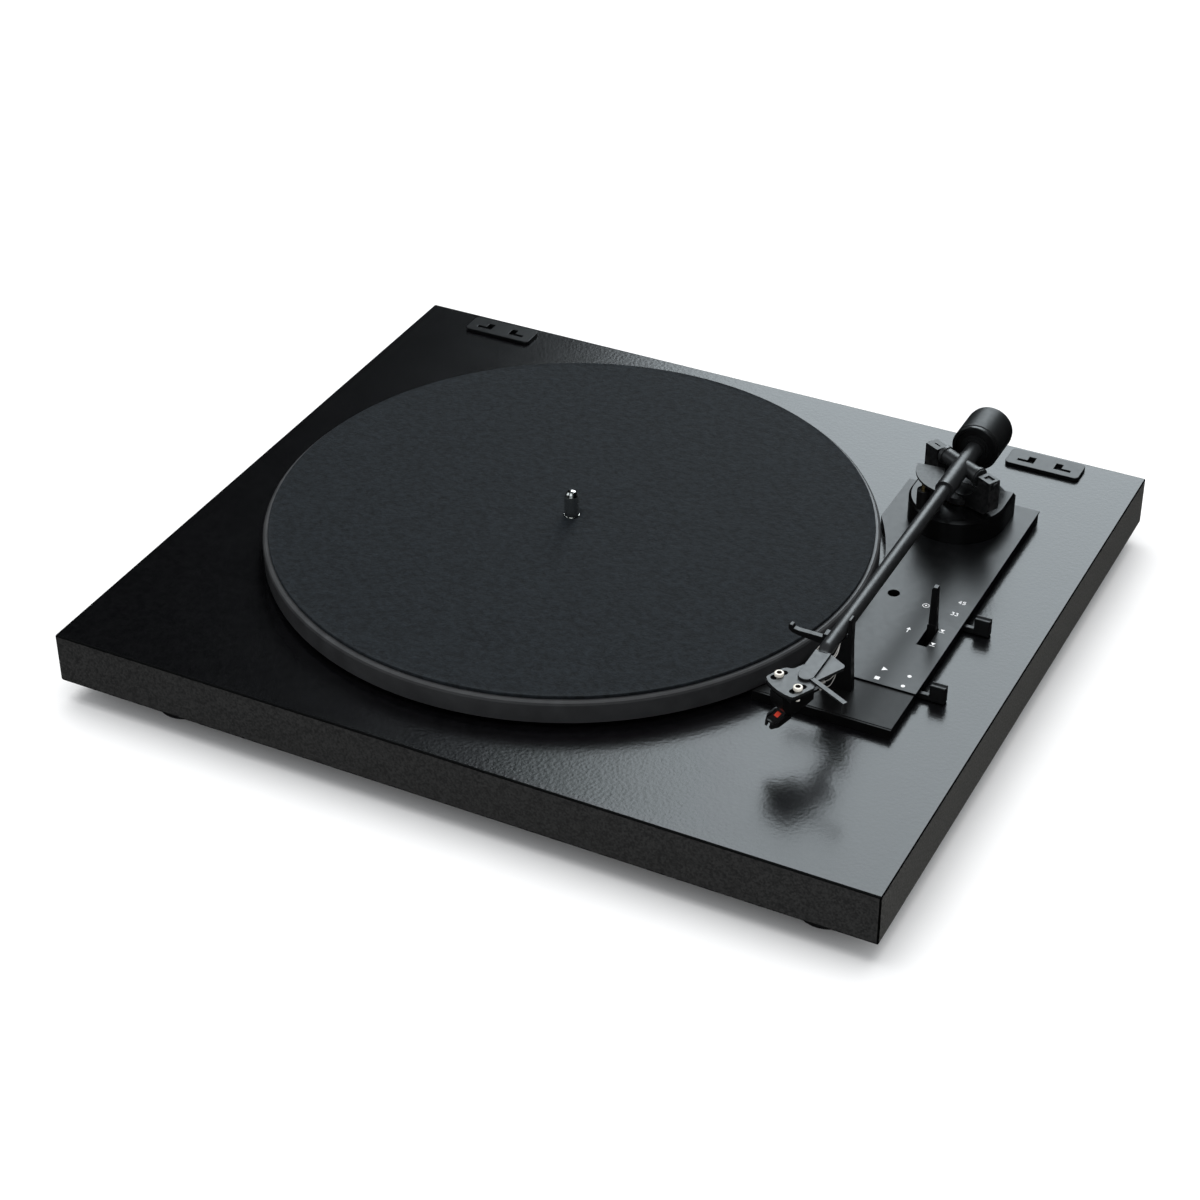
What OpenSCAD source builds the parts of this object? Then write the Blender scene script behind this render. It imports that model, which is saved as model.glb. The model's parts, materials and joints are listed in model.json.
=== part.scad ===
// Belt-drive record player with an automatic straight arm.
// Millimetres. X runs to the right, Y to the back and Z up.
// The origin is on the floor, under the middle of the plinth.
// Inside a module, heights are counted from the plinth's top unless a comment says otherwise.

/* [Plinth] */
// Width of the plinth, left to right
plinth_w = 414; // [380:1:450]
// Depth of the plinth, front to back
plinth_d = 357; // [330:1:380]
// Thickness of the plinth board
plinth_t = 26; // [24:1:40]
// Height of each foot
foot_h = 12; // [8:1:16]
// Radius of each foot
foot_r = 14; // [11:0.5:15]

/* [Platter] */
// Platter centre, right of the plinth's middle
platter_x = -27; // [-32:0.5:-22]
// Platter centre, behind the plinth's middle
platter_y = -1; // [-6:0.5:4]
// Platter radius
platter_r = 150; // [147:0.5:151]
// Gap between the plinth and the platter's skirt
platter_gap = 3; // [2.6:0.1:5]
// Height of the platter from skirt to top
platter_h = 11; // [10:0.5:13]
// Radius of the felt mat
mat_r = 147.3; // [140:0.1:147.5]
// Thickness of the felt mat
mat_t = 1.7; // [1:0.1:3]
// Radius of the spindle
spindle_r = 3.58; // [3.5:0.01:3.6]
// Height of the spindle's tip above the plinth
spindle_top = 29.3; // [25:0.1:32]

/* [Drive] */
// Radius of the belt ring under the platter
ring_r = 80; // [70:1:90]
// Radius of the motor pulley
pulley_r = 6.3; // [5:0.1:8]
// Distance from the spindle to the motor
motor_reach = 112; // [108:1:116]
// Direction of the motor from the spindle, from +X
motor_angle = 215; // [200:1:230]

/* [Control plate] */
// Right end of the control plate
panel_right = 171; // [168:0.5:174]
// Front end of the control plate
panel_front = -79; // [-84:0.5:-74]
// Back end of the control plate
panel_back = 117; // [112:0.5:120]
// Height of the control plate
base_h = 5; // [4:0.1:7]
// Thickness of the cover sheet on the control plate
sheet_t = 0.8; // [0.5:0.1:1.2]
// Travel of the speed knob from 33 to 45
speed_travel = 10; // [6:0.5:10]
// Travel of the start and stop knob each way
start_travel = 4; // [2:0.5:4]

/* [Tone arm] */
// Arm pivot, right of the plinth's middle
pivot_x = 137.7; // [136:0.1:139]
// Arm pivot, behind the plinth's middle
pivot_y = 93; // [90:0.5:96]
// Height of the arm's axis above the plinth
arm_z = 36.5; // [36:0.1:38]
// Outer radius of the arm tube
tube_r = 3.4; // [3:0.1:3.4]
// Radius of the sleeve at the pivot
sleeve_r = 4.7; // [4.4:0.1:5]
// Radius of the counterweight
weight_r = 11.8; // [10:0.1:12]
// Offset angle of the head
offset_angle = 27; // [22:0.5:28]

/* [Cartridge] */
// Distance between the two cartridge screws
screw_pitch = 12.7; // [12.5:0.1:12.9]
// Width of the cartridge
cartridge_w = 17; // [15:0.5:17.5]

/* [Hidden] */
$fn = 96;

// Small allowances
eps = 0.01;
fit = 0.05;
gap = 0.3;

// Heights
top = foot_h + plinth_t;
deck_t = 10;
cover_t = 2;
cavity_floor = -plinth_t + cover_t;
panel_top = base_h + sheet_t;
platter_top = platter_gap + platter_h;
mat_top = platter_top + mat_t;

// The spindle is thicker below the mat's top, where it runs in its bearing
shank_r = spindle_r + 0.22;

// Plan positions
foot_left = -153;
foot_right = 175;
foot_y = 155;
cavity_x = 180;
cavity_y = 132;
cover_lip = 6;
motor_x = platter_x + motor_reach * cos(motor_angle);
motor_y = platter_y + motor_reach * sin(motor_angle);
cam_x = 11.1;
cam_y = 20.9;
cam_dir = atan2(cam_y - platter_y, cam_x - platter_x);
post_x = 124.5;
post_y = 77.2;
cutout_r = platter_r + 2.5;
cue_x = 160.3;
cue_y = 0.5;
cue_z = -14.2;
slot_front = -14.5;
slot_back = 1.5;
start_y = -43.5;
speed_y = 14;
knob_post_x = 141.5;

// Arm bearing
axle_tilt = -28.6;
shaft_r = 4.5;
shaft_top = 21.6;
bush_r = 8;
housing_x = 136.8;
housing_y = 94;
housing_r = 24.3;
housing_top = panel_top + 12.5;
axle_inner = 15;
axle_outer = 23.5;
pivot_pin_r = 1.5;
stub_r = 4.2;

// Head, measured from the middle of the two cartridge screws
head_x = 132.4;
head_y = -105.4;
head_turn = 270 - offset_angle;
plate_under = 35;
plate_top = 36.5;

// Case screws
screw_r = 1.5;
screw_len = 9;
screw_head_r = 3;
screw_head_h = 1.8;
chassis_t = 1.5;
chassis_under = -deck_t - chassis_t;
cover_points = [[-183, -90], [-183, 90], [183, -90], [183, 90],
    [-90, -135], [90, -135], [-90, 135], [20, 135]];
chassis_points = [[-70, -45], [55, -45], [-70, 70], [70, 108], [141, 111.5]];

// Places children with Z counted from the plinth's top.
module on_deck() {
    translate([0, 0, top]) children();
}

// Places children at the arm's pivot, with Z counted from the arm's axis.
module at_pivot() {
    translate([pivot_x, pivot_y, top + arm_z]) children();
}

// Places children in the head's frame: X to the front of the head, Y to its right.
module at_head() {
    translate([head_x, head_y, top]) rotate([0, 0, head_turn]) children();
}

// Round bar along Z from z0 to z1 at x, y.
module bar_z(x, y, z0, z1, r) {
    translate([x, y, z0]) cylinder(r = r, h = z1 - z0);
}

// Round bar along X from x0 to x1.
module bar_x(x0, x1, y, z, r) {
    translate([x0, y, z]) rotate([0, 90, 0]) cylinder(r = r, h = x1 - x0);
}

// Round bar along Y from y0 to y1.
module bar_y(x, y0, y1, z, r) {
    translate([x, y0, z]) rotate([-90, 0, 0]) cylinder(r = r, h = y1 - y0);
}

// Block between two corners.
module block(p, q) {
    translate(p) cube(q - p);
}

// Straight wire between two points.
module wire(p, q, r) {
    run = q - p;
    span = norm(run);
    translate(p) rotate([0, acos(run[2] / span), atan2(run[1], run[0])])
        cylinder(r = r, h = span, $fn = 16);
}

// Outline shared by the control plate and its sheet: a rectangle with a round bite for the platter.
module panel_outline(front, right) {
    left = 103;
    difference() {
        translate([left, front]) square([right - left, panel_back - front]);
        translate([platter_x, platter_y]) circle(r = cutout_r, $fn = 200);
    }
}

// ---------- Plinth and case ----------

module plinth() color([0.05, 0.05, 0.055]) on_deck() {
    rear_x0 = 52;
    rear_x1 = 118;
    rear_z0 = -22;
    rear_z1 = -4;
    window_r = 30;
    cam_window_r = 38.5;
    motor_window_r = 18.5;
    difference() {
        block([-plinth_w / 2, -plinth_d / 2, -plinth_t], [plinth_w / 2, plinth_d / 2, 0]);
        // Routed space for the works, and the rebate for its cover
        block([-cavity_x, -cavity_y, -plinth_t - 1], [cavity_x, cavity_y, -deck_t]);
        block([-cavity_x - cover_lip, -cavity_y - cover_lip, -plinth_t - 1],
            [cavity_x + cover_lip, cavity_y + cover_lip, cavity_floor]);
        // Recess for the sockets
        block([rear_x0, cavity_y - 1, rear_z0], [rear_x1, plinth_d / 2 + 1, rear_z1]);
        // Windows under the platter
        bar_z(platter_x, platter_y, -deck_t - 1, 1, window_r);
        bar_z(cam_x, cam_y, -deck_t - 1, 1, cam_window_r);
        bar_z(motor_x, motor_y, -deck_t - 1, 1, motor_window_r);
        for (a = [0, 120, 240])
            bar_z(motor_x + 21.5 * cos(a), motor_y + 21.5 * sin(a), -8, 1, screw_r);
        // Arm shaft, lift rod and cue lever
        bar_z(pivot_x, pivot_y, -deck_t - 1, 1, bush_r + fit);
        bar_z(post_x, post_y, -deck_t - 1, 1, 2);
        block([cue_x - 3.5, slot_front - 1, -deck_t - 1], [cue_x + 3.5, slot_back + 1.5, 1]);
        // Switch windows
        block([137, -54, -deck_t - 1], [146, -34, 1]);
        block([137, 6, -deck_t - 1], [146, 30, 1]);
        // Screw holes
        for (p = cover_points)
            bar_z(p[0], p[1], cavity_floor - 1, -plinth_t + screw_len, screw_r);
        for (p = chassis_points)
            bar_z(p[0], p[1], chassis_under, chassis_under + screw_len, screw_r);
        for (x = [foot_left, foot_right], y = [-foot_y, foot_y])
            bar_z(x, y, -plinth_t - 1, -plinth_t + 12, 2);
    }
}

module bottom_cover() color([0.12, 0.12, 0.13]) on_deck() {
    side = cover_lip - 0.2;
    difference() {
        block([-cavity_x - side, -cavity_y - side, -plinth_t],
            [cavity_x + side, cavity_y + side, cavity_floor]);
        for (p = cover_points)
            bar_z(p[0], p[1], -plinth_t - 1, cavity_floor + 1, screw_r + 0.2);
        // Air slots under the motor
        for (i = [-3 : 3])
            block([motor_x + 6 * i - 1, motor_y - 12, -plinth_t - 1],
                [motor_x + 6 * i + 1, motor_y + 12, cavity_floor + 1]);
    }
}

// One pan-head screw with a cross recess, head at the origin and shank up.
module case_screw() {
    translate([0, 0, -screw_head_h]) difference() {
        cylinder(r = screw_head_r, h = screw_head_h);
        for (a = [0, 90])
            rotate([0, 0, a]) translate([-1.7, -0.35, -eps]) cube([3.4, 0.7, 1]);
    }
    translate([0, 0, -eps]) cylinder(r = screw_r - fit, h = screw_len - 0.5);
}

module case_screws() color([0.6, 0.6, 0.62]) on_deck() {
    for (p = cover_points)
        translate([p[0], p[1], -plinth_t]) case_screw();
    for (p = chassis_points)
        translate([p[0], p[1], chassis_under]) case_screw();
}

// Foot turned from one profile: a flared cup with a rounded rubber sole.
module foot(x, y) color([0.09, 0.09, 0.1]) {
    bore_r = 2.3;
    head_r = 5;
    head_z = 6;
    translate([x, y, 0]) rotate_extrude() polygon([
        [head_r, 0], [foot_r - 2, 0], [foot_r - 1, 0.8], [foot_r - 1, 3.2],
        [foot_r - 0.4, 3.6], [foot_r, foot_h - 1], [foot_r - 0.6, foot_h],
        [bore_r, foot_h], [bore_r, head_z], [head_r, head_z]]);
}

module foot_front_left() foot(foot_left, -foot_y);

module foot_front_right() foot(foot_right, -foot_y);

module foot_back_left() foot(foot_left, foot_y);

module foot_back_right() foot(foot_right, foot_y);

module foot_screws() color([0.62, 0.62, 0.64]) {
    head_z = 3.4;
    for (x = [foot_left, foot_right], y = [-foot_y, foot_y])
        translate([x, y, 0]) {
            difference() {
                translate([0, 0, head_z]) cylinder(r = 4, h = 6 - head_z);
                translate([-0.5, -5, head_z - eps]) cube([1, 10, 1]);
            }
            translate([0, 0, 6 - eps]) cylinder(r = 2 - fit, h = foot_h + 11 - 6);
        }
}

module hinge_bracket(side) color([0.3, 0.31, 0.32]) on_deck() {
    x0 = 138;
    x1 = 177;
    y0 = 159.5;
    y1 = 174;
    r = 2.5;
    t = 2;
    slot = 1.6;
    mirror([side < 0 ? 1 : 0, 0, 0]) difference() {
        union() {
            block([x0 + r, y0, 0], [x1 - r, y1, t]);
            block([x0, y0 + r, 0], [x1, y1 - r, t]);
            for (x = [x0 + r, x1 - r], y = [y0 + r, y1 - r])
                bar_z(x, y, 0, t, r);
        }
        // Two mirrored hooks: a long slot in front and a wide mouth behind its inner end
        block([x0 + 5.5, y0 + 4.2, -1], [x0 + 14, y0 + 4.2 + slot, t + 1]);
        block([x0 + 10.6, y0 + 4.2, -1], [x0 + 14, y0 + 9.6, t + 1]);
        block([x1 - 14, y0 + 4.2, -1], [x1 - 5.5, y0 + 4.2 + slot, t + 1]);
        block([x1 - 14, y0 + 4.2, -1], [x1 - 10.6, y0 + 9.6, t + 1]);
    }
}

module hinge_bracket_left() hinge_bracket(-1);

module hinge_bracket_right() hinge_bracket(1);

// ---------- Chassis, bearing and motor ----------

module chassis_plate() color([0.62, 0.63, 0.64]) on_deck() {
    difference() {
        union() {
            block([-75, -50, chassis_under], [60, 75, -deck_t]);
            block([59, 60, chassis_under], [147, 117, -deck_t]);
        }
        bar_z(platter_x, platter_y, chassis_under - 1, 0, 7 + fit);
        bar_z(cam_x, cam_y, chassis_under - 1, 0, 2.5);
        bar_z(pivot_x, pivot_y, chassis_under - 1, 0, bush_r + fit);
        bar_z(post_x, post_y, chassis_under - 1, 0, 2);
        for (p = chassis_points)
            bar_z(p[0], p[1], chassis_under - 1, 0, screw_r + 0.2);
        // Lightening holes
        bar_z(-50, 40, chassis_under - 1, 0, 12);
        bar_z(-50, -25, chassis_under - 1, 0, 10);
        bar_z(25, -30, chassis_under - 1, 0, 10);
    }
}

module bearing_housing() color([0.75, 0.62, 0.33]) on_deck() {
    outer = 7;
    flange_r = 16;
    bore = shank_r + fit;
    translate([platter_x, platter_y, 0]) rotate_extrude() polygon([
        [0, -23], [outer, -23], [outer, -deck_t], [flange_r, -deck_t],
        [flange_r, -8], [outer + 1, -8], [outer + 1, -7], [bore, -7],
        [bore, -19.5], [0, -19.5]]);
}

module cam_post() color([0.7, 0.7, 0.72]) on_deck() {
    translate([cam_x, cam_y, 0]) rotate_extrude() polygon([
        [0, -13], [4, -13], [4, chassis_under], [2.5, chassis_under],
        [2.5, -9.4], [4.5, -9.4], [4.5, -9.2], [2.5, -9.2], [2.5, -1.6],
        [4, -1.6], [4, -0.8], [0, -0.8]]);
}

module motor_can() color([0.7, 0.71, 0.72]) on_deck() {
    can_r = 16;
    shaft_hole = 1.5;
    translate([motor_x, motor_y, 0]) rotate_extrude() polygon([
        [0, -21.5], [4, -21.5], [4, -20.5], [can_r - 0.8, -20.5], [can_r, -19.7],
        [can_r, 0], [shaft_hole, 0], [shaft_hole, -17], [0, -17]]);
}

module motor_bracket() color([0.5, 0.5, 0.52]) on_deck() {
    plate_r = 25;
    t = 1.2;
    difference() {
        bar_z(motor_x, motor_y, 0, t, plate_r);
        bar_z(motor_x, motor_y, -1, t + 1, 5);
        for (a = [0, 120, 240])
            bar_z(motor_x + 21.5 * cos(a), motor_y + 21.5 * sin(a), -1, t + 1, screw_r + 0.2);
    }
}

module motor_screws() color([0.6, 0.6, 0.62]) on_deck() {
    for (a = [0, 120, 240])
        translate([motor_x + 21.5 * cos(a), motor_y + 21.5 * sin(a), 1.2]) {
            difference() {
                cylinder(r = screw_head_r, h = 1.5);
                for (b = [0, 90])
                    rotate([0, 0, b]) translate([-1.7, -0.35, 0.7]) cube([3.4, 0.7, 1]);
            }
            translate([0, 0, -8]) cylinder(r = screw_r - fit, h = 8 + eps);
        }
}

// Straight-sided loop round two circles, as a plan outline.
module belt_outline(r_big, r_small) {
    lean = acos((r_big - r_small) / motor_reach);
    translate([platter_x, platter_y]) rotate([0, 0, motor_angle]) {
        circle(r = r_big, $fn = 200);
        translate([motor_reach, 0]) circle(r = r_small);
        polygon([
            [r_big * cos(lean), r_big * sin(lean)],
            [motor_reach + r_small * cos(lean), r_small * sin(lean)],
            [motor_reach + r_small * cos(lean), -r_small * sin(lean)],
            [r_big * cos(lean), -r_big * sin(lean)]]);
    }
}

module drive_belt() color([0.04, 0.04, 0.04]) on_deck() {
    belt_t = 0.6;
    belt_z = 3.8;
    belt_w = 4.4;
    translate([0, 0, belt_z]) linear_extrude(belt_w) difference() {
        belt_outline(ring_r + gap + belt_t, pulley_r + gap + belt_t);
        belt_outline(ring_r + gap, pulley_r + gap);
    }
}

module motor_pulley() color([0.8, 0.68, 0.4]) on_deck() {
    flange = pulley_r + 1.2;
    translate([motor_x, motor_y, 0]) rotate_extrude() polygon([
        [1, 2], [flange, 2], [flange, 2.8], [pulley_r, 3.2],
        [pulley_r, 8.6], [flange, 9], [flange, 9.4], [1, 9.4]]);
}

module motor_shaft() color([0.78, 0.78, 0.8]) on_deck() {
    bar_z(motor_x, motor_y, -16.5, 9.4, 1);
}

// ---------- Platter ----------

module platter() color([0.5, 0.51, 0.53]) on_deck() {
    skirt_in = platter_r - 6;
    web = platter_top - 4;
    hub_r = 12;
    access_r = 12;
    translate([platter_x, platter_y, 0]) difference() {
        rotate_extrude($fn = 200) polygon([
            [shank_r, 1], [hub_r, 1], [hub_r, web], [ring_r - 4, web],
            [ring_r - 4, 3.2], [ring_r, 3.2], [ring_r, web], [skirt_in, web],
            [skirt_in, platter_gap], [platter_r, platter_gap],
            [platter_r, platter_top - 1.6], [platter_r - 0.5, platter_top - 0.6],
            [platter_r - 1.4, platter_top], [shank_r, platter_top]]);
        // Two holes through which the belt is put on the pulley
        for (a = [motor_angle, motor_angle + 180])
            rotate([0, 0, a]) translate([motor_reach, 0, web - 1])
                cylinder(r = access_r, h = 6);
    }
}

module felt_mat() color([0.13, 0.14, 0.17]) on_deck() {
    hole_r = shank_r + 0.15;
    translate([platter_x, platter_y, platter_top]) difference() {
        cylinder(r = mat_r, h = mat_t, $fn = 200);
        translate([0, 0, -1]) cylinder(r = hole_r, h = mat_t + 2);
    }
}

module spindle() color([0.8, 0.81, 0.82]) on_deck() {
    translate([platter_x, platter_y, 0]) rotate_extrude() polygon([
        [0, -19.2], [2.4, -19.2], [shank_r, -18], [shank_r, mat_top],
        [spindle_r, mat_top], [spindle_r, spindle_top - 3.6],
        [spindle_r - 0.25, spindle_top - 2.6], [spindle_r - 0.8, spindle_top - 1.5],
        [spindle_r - 1.7, spindle_top - 0.55], [spindle_r - 2.6, spindle_top - 0.12],
        [0, spindle_top]]);
}

// Plan outline of a gear; teeth within the skip angle of +X are left out.
module gear_outline(pitch_r, teeth, skip) {
    tooth_h = 1;
    root = pitch_r - tooth_h;
    tip = pitch_r + tooth_h;
    root_half = 1;
    tip_half = 0.42;
    circle(r = root + eps);
    for (i = [0 : teeth - 1]) {
        a = 360 * (i + 0.5) / teeth;
        if (min(a, 360 - a) > skip)
            rotate([0, 0, a]) polygon([[root - 0.5, -root_half], [root, -root_half],
                [tip, -tip_half], [tip, tip_half], [root, root_half], [root - 0.5, root_half]]);
    }
}

module hub_pinion() color([0.85, 0.85, 0.82]) on_deck() {
    translate([platter_x, platter_y, 0]) difference() {
        union() {
            translate([0, 0, -6]) linear_extrude(4.6) gear_outline(8, 16, 0);
            translate([0, 0, -1.5]) cylinder(r = 10, h = 2.3);
        }
        translate([0, 0, -7]) cylinder(r = shank_r, h = 9);
    }
}

module cam_gear() color([0.87, 0.87, 0.84]) on_deck() {
    gap_half = 20;
    translate([cam_x, cam_y, 0]) rotate([0, 0, cam_dir + 180]) difference() {
        union() {
            translate([0, 0, -6]) linear_extrude(3.6) difference() {
                gear_outline(36, 72, gap_half);
                // The toothless gap is cut a little lower so that the pinion turns free in it
                for (a = [-9, -4.5, 0, 4.5, 9])
                    rotate([0, 0, a]) translate([43.9, 0]) circle(r = 9.6);
            }
            translate([0, 0, -8.8]) cylinder(r = 6, h = 3);
        }
        translate([0, 0, -10]) cylinder(r = 2.5 + fit, h = 10);
        // Cam track in the underside
        translate([4, 0, -7]) difference() {
            cylinder(r = 27, h = 2.4);
            translate([0, 0, -1]) cylinder(r = 23, h = 4);
        }
    }
}

// ---------- Control plate ----------

module control_base() color([0.17, 0.175, 0.18]) on_deck() {
    roof = 1.4;
    wall = 2;
    room_left = 128;
    difference() {
        linear_extrude(base_h) panel_outline(panel_front, panel_right);
        // Room for the knob stems
        difference() {
            block([room_left, panel_front + wall, -1],
                [panel_right - wall, 58, base_h - roof]);
            block([cue_x - 4.5, slot_front - 2, -1], [cue_x + 4.5, slot_back + 2, base_h]);
            bar_z(133.3, 19.3, -1, base_h, 5);
            block([room_left - 1, -68, -1], [146, -56, base_h]);
        }
        // Side windows for the stems
        block([panel_right - wall - 1, start_y - 2 - start_travel - 0.4, -1],
            [panel_right + 1, start_y + 0.5 + start_travel + 0.4, 3.6]);
        block([panel_right - wall - 1, speed_y - 2 - 0.4, -1],
            [panel_right + 1, speed_y + 0.5 + speed_travel + 0.4, 3.6]);
        // Cue slot, set-down hole, arm shaft and lift rod
        block([157.8, slot_front, -1], [162.8, slot_back, base_h + 1]);
        bar_z(133.3, 19.3, -1, base_h + 1, 2.85);
        bar_z(pivot_x, pivot_y, -1, base_h + 1, bush_r + fit);
        bar_z(post_x, post_y, -1, base_h + 1, 2);
        // Fine step along the front edge
        block([100, panel_front - 1, base_h - 0.3], [panel_right + 1, panel_front + 1, base_h + 1]);
    }
}

module control_panel() color([0.2, 0.205, 0.21]) on_deck() {
    sheet_front = -50.3;
    overhang = 0.5;
    difference() {
        translate([0, 0, base_h]) linear_extrude(sheet_t)
            panel_outline(sheet_front, panel_right + overhang);
        block([157.8, slot_front, base_h - 1], [162.8, slot_back, panel_top + 1]);
        bar_z(133.3, 19.3, base_h - 1, panel_top + 1, 2.85);
        bar_z(pivot_x, pivot_y, base_h - 1, panel_top + 1, bush_r + fit);
        bar_z(post_x, post_y, base_h - 1, panel_top + 1, 2);
    }
}

// Side knob: a ribbed block outside, a flat stem under the plate and a post to the switch.
module side_knob(y) {
    knob_x0 = 176;
    knob_x1 = 183.5;
    half = 2;
    body_top = 8.2;
    rib_top = 9;
    rib = 1.1;
    stem_w = 2.5;
    block([knob_x0, y - half, 0.4], [knob_x1, y + half, body_top]);
    block([knob_x0, y - half, body_top - eps], [knob_x1, y - half + rib, rib_top]);
    block([knob_x0, y + half - rib, body_top - eps], [knob_x1, y + half, rib_top]);
    block([knob_post_x - 1.5, y - half, 0.4], [knob_x0 + eps, y - half + stem_w, 3.2]);
    block([knob_post_x - 1.5, y - half, -7], [knob_post_x + 1.5, y - half + stem_w, 0.4 + eps]);
}

module start_knob() color([0.08, 0.08, 0.085]) on_deck() side_knob(start_y);

module speed_knob() color([0.08, 0.08, 0.085]) on_deck() side_knob(speed_y);

// Slide switch: a block with an open channel for the knob's post.
module slide_switch(y0, y1) {
    half = 3.9;
    channel = 1.9;
    difference() {
        block([knob_post_x - half, y0, -deck_t], [knob_post_x + half, y1, -5]);
        block([knob_post_x - channel, y0 - 1, -7.5], [knob_post_x + channel, y1 + 1, -4]);
    }
}

module start_switch() color([0.15, 0.15, 0.16]) on_deck() slide_switch(-53, -35);

module speed_switch() color([0.15, 0.15, 0.16]) on_deck() slide_switch(7, 29);

module circuit_board() color([0.08, 0.28, 0.16]) on_deck() {
    t = 1.6;
    difference() {
        block([113, -60, -deck_t - t], [147, 36, -deck_t]);
        for (p = [[116, -57], [144, -57], [116, 33], [144, 33]])
            bar_z(p[0], p[1], -deck_t - t - 1, 0, 1.5);
    }
    // Parts soldered to its underside
    bar_z(121, -20, -21, -deck_t - t + eps, 4);
    bar_z(121, -8, -21, -deck_t - t + eps, 4);
    bar_z(131, -46, -18, -deck_t - t + eps, 3);
    block([126, -30, -14.6], [138, -24, -deck_t - t + eps]);
    block([126, -4, -14.6], [134, 4, -deck_t - t + eps]);
    block([117, 12, -19], [125, 28, -deck_t - t + eps]);
}

// ---------- Rear sockets ----------

module terminal_plate() color([0.1, 0.1, 0.11]) on_deck() {
    difference() {
        block([52 + fit, 165, -22 + fit], [118 - fit, 167, -4 - fit]);
        bar_y(60, 160, 170, -13, 4.6);
        bar_y(78, 160, 170, -13, 2);
        bar_y(92, 160, 170, -13, 3);
        bar_y(108, 160, 170, -13, 3);
    }
}

// Socket shell with a shoulder, turned about the back-to-front axis.
module phono_socket(x) on_deck() {
    translate([x, 0, -13]) rotate([-90, 0, 0]) difference() {
        union() {
            translate([0, 0, 159]) cylinder(r = 3 - fit, h = 8 + eps);
            translate([0, 0, 167]) cylinder(r = 5.5, h = 1.5);
            translate([0, 0, 168.5 - eps]) cylinder(r = 4.15, h = 8.5);
        }
        translate([0, 0, 169]) cylinder(r = 1.6, h = 9);
    }
}

module phono_socket_left() color([0.86, 0.72, 0.35]) phono_socket(92);

module phono_socket_right() color([0.86, 0.72, 0.35]) phono_socket(108);

module ground_post() color([0.82, 0.7, 0.38]) on_deck() {
    bar_y(78, 160, 175.5, -13, 2 - fit);
    bar_y(78, 167, 168.4, -13, 3.6);
    translate([78, 170.2, -13]) rotate([-90, 0, 0]) cylinder(r = 4, h = 3.6, $fn = 12);
}

module power_inlet() color([0.1, 0.1, 0.1]) on_deck() {
    difference() {
        union() {
            block([55.5, 154, -17.5], [64.5, 165, -8.5]);
            bar_y(60, 164, 168.4, -13, 4.5);
        }
        bar_y(60, 157, 170, -13, 2.8);
    }
    bar_y(60, 155, 166, -13, 1);
}

// ---------- Arm bearing and base ----------

module arm_base() color([0.13, 0.135, 0.14]) on_deck() {
    bevel = 1.2;
    wall = 2.5;
    back = 108.5;
    side = housing_r - bevel;
    difference() {
        union() {
            translate([housing_x, housing_y, 0]) rotate_extrude() polygon([
                [0, panel_top], [housing_r, panel_top], [housing_r, housing_top - bevel],
                [side, housing_top], [0, housing_top]]);
            translate([housing_x, back, 0]) rotate([90, 0, 0])
                linear_extrude(back - housing_y) polygon([
                    [-housing_r, panel_top], [housing_r, panel_top],
                    [housing_r, housing_top - bevel], [side, housing_top],
                    [-side, housing_top], [-housing_r, housing_top - bevel]]);
        }
        bar_z(housing_x, housing_y, panel_top - 1, housing_top - wall, housing_r - wall);
        block([housing_x - housing_r + wall, housing_y, panel_top - 1],
            [housing_x + housing_r - wall, back - wall, housing_top - wall]);
        bar_z(pivot_x, pivot_y, panel_top, housing_top + 1, bush_r + fit);
        bar_z(post_x, post_y, panel_top - 1, housing_top + 1, 2.55);
    }
}

module arm_bush() color([0.72, 0.6, 0.34]) on_deck() {
    bore = shaft_r + fit;
    flange = 12;
    translate([pivot_x, pivot_y, 0]) rotate_extrude() polygon([
        [bore, -12], [bush_r, -12], [bush_r, panel_top], [flange, panel_top],
        [flange, panel_top + 2], [bush_r, panel_top + 2], [bush_r, housing_top],
        [bore, housing_top]]);
}

module lift_guide() color([0.1, 0.1, 0.105]) on_deck() {
    bore = 1.25;
    shoulder = 3.3;
    guide_top = 28.5;
    translate([post_x, post_y, 0]) rotate_extrude() polygon([
        [bore, panel_top], [2.5, panel_top], [2.5, housing_top], [shoulder, housing_top],
        [shoulder, guide_top - 0.4], [shoulder - 0.4, guide_top], [bore, guide_top]]);
}

module lift_rod() color([0.8, 0.66, 0.36]) on_deck() {
    rod_r = 1.2;
    foot_z = -12.8;
    bar_z(post_x, post_y, foot_z, 31.5, rod_r);
    translate([post_x, post_y, foot_z]) sphere(r = rod_r, $fn = 48);
}

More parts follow.
